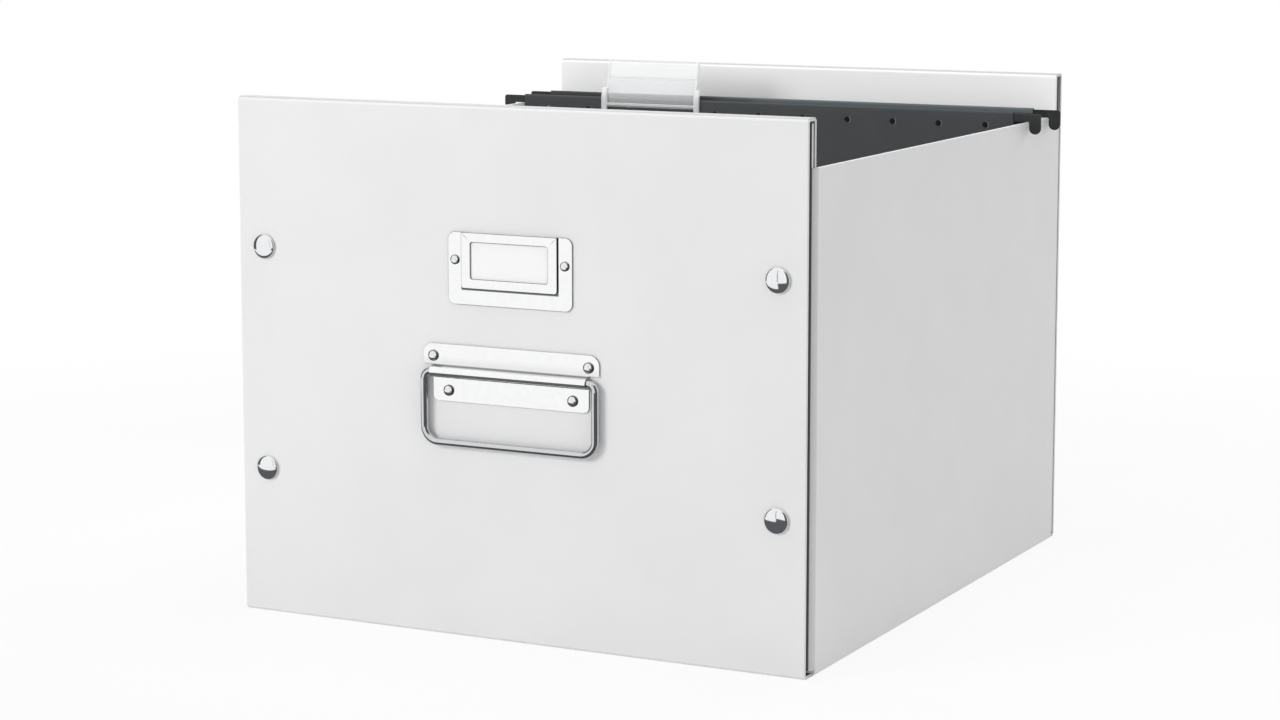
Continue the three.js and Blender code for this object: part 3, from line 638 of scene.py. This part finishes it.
# Suspension file: one sheet of dark grey card folded to a V, each top edge turned down round a bar
# and glued as a hem, with a row of small holes under each bar for the tab.
bar_y = {"front": 124 * mm, "rear": 157.5 * mm}
tunnel_low, tunnel_high = 253.5 * mm, 258.6 * mm
tunnel_half = 0.8 * mm
card_sheet = 0.5 * mm
crease_y, crease_z, crease = (bar_y["front"] + bar_y["rear"]) / 2, 15.6 * mm, 1.6 * mm
sheet_left, sheet_right = -162.5 * mm, 157.5 * mm
hole_pitch, hole_radius = 28.7 * mm, 1.5 * mm
middle_hole = -3 * mm
hole_z = 251.2 * mm


def grey_card():
    """Dyed file card: dark fibres, with a painted bluish sheen on the rear fold and over both bars.

    Each hole has a painted highlight at its right and painted black shade in and round it, and
    the V has painted shade within.
    """
    finish = Finish("grey_card", Specular_IOR_Level=0.35)
    fibre = finish.noise(1300, 5, 0.7)
    cloud = finish.noise(40, 3)
    x, y, z = finish.axes()
    # Painted sheen: a light bluish band on the rear sheet's fold towards the right, and a faint one
    # along the crown over both bars.
    sheen_from, sheen_to, before_rear = -60 * mm, -35 * mm, bar_y["rear"] - 7.5 * mm
    rear = y.between(before_rear, before_rear + mm) * x.between(sheen_from, sheen_to)
    sheen_band = 0.8 * rear * z.between(tunnel_high - 2.8 * mm, tunnel_high - 1.8 * mm)
    crown = 0.1 * z.between(tunnel_high - 0.7 * mm, tunnel_high + 0.3 * mm)
    body = finish.mixed((0.045, 0.048, 0.050, 1), (0.064, 0.067, 0.070, 1),
                        fibre * 0.6 + cloud * 0.4)
    sheen_tint = finish.mixed((0.115, 0.14, 0.15, 1), (0.16, 0.185, 0.197, 1), fibre)
    colour = finish.mixed(body, sheen_tint, sheen_band.larger(crown))
    turn = finish.add("ShaderNodeMath", {"operation": "FRACT"},
                      {0: (x - middle_hole) * (1 / hole_pitch) + 0.5})
    along, rise = (turn - 0.5) * hole_pitch, z - hole_z
    away = along * along + rise * rise
    # Painted highlight: a light crescent at the right edge of each hole.
    hole_glint = 1 - away.between((hole_radius + 0.6 * mm) ** 2, (hole_radius + 0.9 * mm) ** 2)
    hole_glint = hole_glint * along.between(0.9 * mm, 1.4 * mm)
    colour = finish.mixed(colour, (0.15, 0.155, 0.16, 1), hole_glint)
    # Painted shade: the card round each hole and its cut wall are painted black.
    solid = away.between((hole_radius + 0.1 * mm) ** 2, (hole_radius + 0.45 * mm) ** 2)
    colour = finish.mixed((0.004, 0.004, 0.004, 1), colour, solid)
    # Painted shade: the faces inside the V, below the bars, are painted darker.
    front_half = 1 - y.between(crease_y - 0.75 * mm, crease_y + 0.25 * mm)
    inward = finish.turned_back() * (2 * front_half - 1)
    pocket = 1 - z.between(tunnel_low - 0.9 * mm, tunnel_low - 0.1 * mm)
    pocket = inward.between(0.2, 0.8) * pocket
    colour = finish.mixed(colour, (0.012, 0.012, 0.013, 1), pocket)
    finish.set(finish.shader, {"Base Color": colour, "Roughness": 0.68 + 0.15 * fibre})
    finish.bump(fibre, 0.03 * mm)
    return finish.material


def file_side(y, inward):
    """Half of the sheet: the loop round its bar with the glued hem, and the leg to the crease."""
    wide, hem, turn_in = tunnel_half + card_sheet, 12 * mm, 0.4 * mm
    outer_top = y - inward * wide
    outer_foot = crease_y - inward * crease
    slope = (outer_foot - outer_top) / (tunnel_low - crease_z)
    edge = y - inward * (wide - 2 * card_sheet)
    outline = [(outer_foot + inward * card_sheet, crease_z), (outer_foot, crease_z),
               (outer_top, tunnel_low)]
    outline += [(y - inward * wide * c, tunnel_high + card_sheet - wide + wide * s)
                for c, s in arc(0, 0, 1, 0, 2 * quarter, 12)]
    outline += [(y + inward * wide, tunnel_low + turn_in),
                (y + inward * (wide - turn_in), tunnel_low),
                (edge, tunnel_low - card_sheet), (edge + slope * hem, tunnel_low - hem),
                (edge + slope * hem - inward * card_sheet, tunnel_low - hem)]
    return drawn_out(outline, sheet_left, sheet_right, drawn_along_x)


def crease_fold():
    """The round fold at the foot of the V, between its two legs."""
    outline = arc(crease_y, crease_z, crease, 2 * quarter, 4 * quarter, 12)
    outline += arc(crease_y, crease_z, crease - card_sheet, 4 * quarter, 2 * quarter, 12)
    return drawn_out(outline, sheet_left, sheet_right, drawn_along_x)


def cut_out(body, cutters):
    """A body less its cutters."""
    shapes = []
    for shape in (body, *cutters):
        mesh = bpy.data.meshes.new("cut")
        shape.to_mesh(mesh)
        shape.free()
        shapes.append(bpy.data.objects.new("cut", mesh))
        bpy.context.scene.collection.objects.link(shapes[-1])
    for cutter in shapes[1:]:
        cut = shapes[0].modifiers.new("cut", "BOOLEAN")
        cut.operation = "DIFFERENCE"
        cut.solver = "EXACT"
        cut.object = cutter
    bpy.context.view_layer.update()
    result = bmesh.new()
    result.from_object(shapes[0], bpy.context.evaluated_depsgraph_get())
    for shape in shapes:
        mesh = shape.data
        bpy.data.objects.remove(shape)
        bpy.data.meshes.remove(mesh)
    return result


def hole_cutters(y):
    """Eleven stubs, one for each hole under a bar."""
    cutters = bmesh.new()
    reach, each_side = 2.2 * mm, 5
    for i in range(-each_side, each_side + 1):
        x = middle_hole + i * hole_pitch
        hole = arc(x, hole_z, hole_radius, 0, 4 * quarter, 20)[1:]
        stub = drawn_out(hole, y - reach, y + reach, drawn_along_y)
        mesh = bpy.data.meshes.new("hole")
        stub.to_mesh(mesh)
        stub.free()
        cutters.from_mesh(mesh)
        bpy.data.meshes.remove(mesh)
    return cutters


card_grey = grey_card()
sides = []
for where, inward in (("front", 1), ("rear", -1)):
    y = bar_y[where]
    bore = [(y - tunnel_half, tunnel_low), (y + tunnel_half, tunnel_low)]
    bore += arc(y, tunnel_high - tunnel_half, tunnel_half, 0, 2 * quarter, 8)
    tunnel = drawn_out(bore, sheet_left - mm, sheet_right + mm, drawn_along_x)
    sides.append(cut_out(file_side(y, inward), [tunnel, hole_cutters(y)]))
piece("file_sheet", [*sides, crease_fold()], card_grey, ["folder_sheet"])


# Bars: flat dark strips that run through the tunnels; the leg at each end hangs over the outside
# of the side wall, so that the file slides along it.
def dark_strip():
    """Dark coated strip, with light rubbing where it slides."""
    finish = Finish("dark_strip", Specular_IOR_Level=0.5)
    rub = finish.noise(300, 4, 0.6)
    tint = finish.mixed((0.014, 0.015, 0.015, 1), (0.032, 0.034, 0.034, 1), rub.between(0.4, 0.8))
    finish.set(finish.shader, {"Base Color": tint, "Roughness": 0.38 + 0.2 * rub})
    finish.bump(rub, 0.01 * mm)
    return finish.material


def hanging_bar(y):
    """One bar, notched over the side wall and with a round-ended leg at each end."""
    centre, notch, leg = -1.5 * mm, 168.5 * mm, 7 * mm
    low, high, tip = 253.8 * mm, 258.3 * mm, 246.7 * mm
    end, tip_round, shoulder, corner, thick = notch + leg, leg / 2, 1.5 * mm, 0.8 * mm, 1.0 * mm
    half = arc(end - shoulder, high - shoulder, shoulder, quarter, 0, 6)
    half += arc(end - tip_round, tip + tip_round, tip_round, 0, -2 * quarter, 14)
    half += arc(notch - corner, low - corner, corner, 0, quarter, 5)
    outline = half + [(-x, z) for x, z in reversed(half)]
    outline = [(centre + x, z) for x, z in outline]
    return softened(drawn_out(outline, y - thick / 2, y + thick / 2, drawn_along_y), 0.14 * mm,
                    segments=2)


bar_finish = dark_strip()
for where, y in bar_y.items():
    piece(f"hanging_bar_{where}", [hanging_bar(y)], bar_finish, [f"folder_bar_{where}"])

# Tab: clear moulded plastic, hooked into two holes of the front sheet. Its upper part leans back
# and is double, to hold a white card, and a ledge and two thicker ends stiffen its foot.
tab_x = -74.75 * mm
tab_y = 122.5 * mm
tab_half = 33 * mm
end_width = 3.4 * mm
ledge_low, ledge_high = 1.1 * mm, 2.4 * mm


def clear_plastic():
    """Clear plastic: white at grazing edges, and cloudy in the thick foot and end posts."""
    finish = Finish("clear_plastic", IOR=1.49)
    rub = finish.noise(420, 4, 0.6)
    edge = finish.add("ShaderNodeLayerWeight", None, {"Blend": 0.35}, 1)
    x, y, z = finish.axes()
    rise, post = z - tunnel_low, tab_half - end_width
    posts = abs(x - tab_x).between(post - 0.2 * mm, post + 0.1 * mm)
    foot = 1 - rise.between(ledge_high, ledge_high + 0.4 * mm)
    front = 1 - y.between(tab_y - 0.8 * mm, tab_y - 0.5 * mm)
    thick = posts.larger(foot * front)
    hooks = (1 - rise.between(-0.3 * mm, 0)) * (1 - posts)
    plain = rise.between(3 * mm, 9 * mm) * (1 - rise.between(16 * mm, 18 * mm))
    tint = finish.mixed((0.92, 0.93, 0.935, 1), (0.97, 0.97, 0.97, 1), edge)
    finish.set(finish.shader, {"Base Color": tint, "Roughness": 0.08 + 0.1 * rub,
                               "Alpha": (0.14 + 0.45 * edge + 0.16 * plain + 0.25 * thick)
                               * (1 - 0.9 * hooks)})
    finish.bump(rub, 0.004 * mm)
    return finish.material


def tab_moulding():
    """The double leaning part, two end posts, the ledge between them and two hooks."""
    wall, gap, knee, top, card_depth = 0.6 * mm, 1.0 * mm, 6.6 * mm, 28 * mm, 19 * mm
    lean = math.tan(math.radians(11))
    base = tunnel_low

    def shift(z):
        return max(0.0, z - knee) * lean

    back_low = top - card_depth
    crown = wall + gap / 2
    crown_z = top - crown
    middle = shift(crown_z) + gap / 2
    skin = [(-wall, 0), (0, 0), (0, knee), (shift(crown_z), crown_z)]
    skin += [(middle - gap / 2 * c, crown_z + gap / 2 * s)
             for c, s in arc(0, 0, 1, 0, 2 * quarter, 8)]
    skin += [(shift(back_low) + gap, back_low), (shift(back_low) + gap + wall, back_low)]
    skin += [(middle + crown * c, crown_z + crown * s) for c, s in arc(0, 0, 1, 0, 2 * quarter, 10)]
    skin += [(-wall, knee)]

    def put(u, v, w):
        return (tab_x + w, tab_y + u, base + v)

    skin_half = tab_half - 2.4 * mm
    bodies = [softened(drawn_out(skin, -skin_half, skin_half, put), 0.12 * mm, segments=2)]
    end_top, end_deep, end_foot, end_edge = 11.5 * mm, 1.6 * mm, -3 * mm, 0.3 * mm
    rib = [(-wall - end_deep, end_foot), (-wall / 2, end_foot), (-wall / 2, knee),
           (shift(end_top) - wall / 2, end_top), (shift(end_top) - wall - 0.5 * end_deep, end_top),
           (-wall - end_deep, knee)]
    for x in (-tab_half, tab_half - end_width):
        bodies.append(softened(drawn_out(rib, x, x + end_width, put), end_edge))
    ledge = [(-wall - end_deep, ledge_low), (-wall, ledge_low), (-wall, ledge_high),
             (-wall - end_deep, ledge_high)]
    inner = tab_half - end_width
    bodies.append(softened(drawn_out(ledge, -inner, inner, put), 0.25 * mm))
    drop, hook_half, hook_deep, prong = hole_z - base, 1.1 * mm, 2.8 * mm, 0.6 * mm
    hook = [(-wall, 0), (-wall, drop - prong), (hook_deep, drop - prong),
            (hook_deep, drop + prong), (0, drop + prong), (0, 0)]
    for x in (-hole_pitch / 2, hole_pitch / 2):
        bodies.append(softened(drawn_out(hook, x - hook_half, x + hook_half, put), 0.15 * mm))
    return bodies


piece("clear_tab", tab_moulding(), clear_plastic(), ["tab_holder"])
recoat("tab_card", card_stock)

# The viewpoint: a long lens that looks at the box from the front right and a little above, with a
# small shift of the frame that leaves the room above and below the box as it should be.
lens = bpy.data.cameras.new("viewpoint")
lens.sensor_width = 36
lens.lens = 84.88
lens.shift_y = -0.0625
lens.clip_end = 100
viewpoint = bpy.data.objects.new("viewpoint", lens)
viewpoint.location = (0.7483, -1.5144, 0.3951)
viewpoint.rotation_euler = (math.radians(90 - 7.683), 0, math.radians(26.901))
bpy.context.scene.collection.objects.link(viewpoint)
bpy.context.scene.camera = viewpoint

# The studio: a white floor and surround, with a large soft lamp high on the left in front, weaker
# ones to the right, above and behind, and dark screens that only the bright metal mirrors.
bpy.context.scene.view_settings.view_transform = "Standard"


def looked_at(finish):
    """1 where the camera, bright metal or clear plastic sees it, and 0 where it lights the box."""
    seen = finish.add("ShaderNodeLightPath")
    paths = seen.socket.node.outputs
    for other in ("Is Glossy Ray", "Is Transmission Ray"):
        seen = seen.larger(Signal(finish, paths[other]))
    return seen


def white_floor():
    """Matt white floor that keeps the shadow and glows, fully so from a metre away."""
    floor = Finish("studio_floor", Roughness=0.9, Base_Color=(0.88, 0.88, 0.88, 1))
    far = floor.add("ShaderNodeVectorMath", {"operation": "LENGTH"}, {0: floor.place()}, 1)
    near_glow = 0.88
    glow = near_glow + (1 - near_glow) * far.between(0.4, 1.0)
    emission = floor.add("ShaderNodeEmission", None, {"Color": (1, 1, 1, 1)})
    mixed = floor.add("ShaderNodeMixShader", None,
                      {0: looked_at(floor) * glow, 1: Signal(floor, floor.shader.outputs[0]),
                       2: emission})
    floor.set(floor.tree.nodes["Material Output"], {"Surface": mixed})
    return floor.material


ground = bpy.data.meshes.new("studio_floor")
floor_reach, floor_drop = 40, 0.05 * mm
ground.from_pydata([(floor_reach * x, floor_reach * y, 0)
                    for x, y in ((-1, -1), (1, -1), (1, 1), (-1, 1))], [], [(0, 1, 2, 3)])
ground.materials.append(white_floor())
floor_object = bpy.data.objects.new("studio_floor", ground)
floor_object.location.z = -floor_drop
bpy.context.scene.collection.objects.link(floor_object)

surround = Finish("surround", bpy.data.worlds, "Background", Color=(1, 1, 1, 1))
soft_level = 0.42
surround.set(surround.shader, {"Strength": soft_level + (1 - soft_level) * looked_at(surround)})
bpy.context.scene.world = surround.material


def soft_lamp(name, place, aim, size, power):
    """A soft box that lights the box without showing in its bright metal."""
    light = bpy.data.lights.new(name, "AREA")
    light.shape = "RECTANGLE"
    light.size, light.size_y = size
    light.energy = power
    lamp = bpy.data.objects.new(name, light)
    lamp.location = place
    lamp.rotation_euler = (Vector(aim) - Vector(place)).to_track_quat("-Z", "Y").to_euler()
    lamp.visible_glossy = False
    bpy.context.scene.collection.objects.link(lamp)


soft_lamp("key", (-1.6, -2.15, 1.05), (0, 0, 0.12), (0.9, 0.9), 33.5)
soft_lamp("fill", (1.6, -0.9, 0.22), (0.1, 0, 0.1), (1.0, 0.5), 2.8)
soft_lamp("overhead", (0, -0.1, 0.9), (0, 0.02, 0.25), (0.5, 0.5), 3.0)
soft_lamp("rear", (0.6, 2.2, 1.2), (0, 0, 0.12), (1.4, 1.0), 22)

screen_cloth = Finish("screen_cloth", Base_Color=(0, 0, 0, 1), Roughness=1.0,
                      Specular_IOR_Level=0.0, Emission_Color=(0.11, 0.112, 0.118, 1),
                      Emission_Strength=1.0)


def dark_screen(name, outline, height=0.0):
    """A dark screen that shows only in bright metal: it stands on its outline, or lies in it."""
    ground_line = [Vector((x, y, 0)) for x, y in outline]
    if height:
        top_line = [corner + Vector((0, 0, height)) for corner in ground_line]
        above = len(outline)
        faces = [(i, i + 1, i + 1 + above, i + above) for i in range(above - 1)]
        corners = ground_line + top_line
    else:
        faces = [tuple(range(len(outline)))]
        corners = ground_line
    mesh = bpy.data.meshes.new(name)
    mesh.from_pydata(corners, [], faces)
    mesh.materials.append(screen_cloth.material)
    screen = bpy.data.objects.new(name, mesh)
    screen.visible_camera = screen.visible_diffuse = screen.visible_shadow = False
    screen.visible_transmission = screen.visible_volume_scatter = False
    bpy.context.scene.collection.objects.link(screen)


dark_screen("floor_screen", [(-0.8, -0.19), (-0.8, -0.38), (-0.35, -0.42), (0.02, -0.53),
                             (-0.17, -1.02), (1.2, -1.02), (1.2, -0.19)])
dark_screen("rear_floor_screen", [(-0.9, 0.19), (0.15, 0.19), (0.15, 0.8), (-0.9, 0.8)])
dark_screen("narrow_screen", [(-0.25, -1.18), (-0.22, -1.18)], 0.7)
screen_away, screen_height = 0.95, 1.2
for name, start, end in (("right_screen", 24, 85), ("left_screen", -112, -60)):
    line = arc(0, front_y, screen_away, math.radians(start) - quarter,
               math.radians(end) - quarter, 12)
    dark_screen(name, line, screen_height)
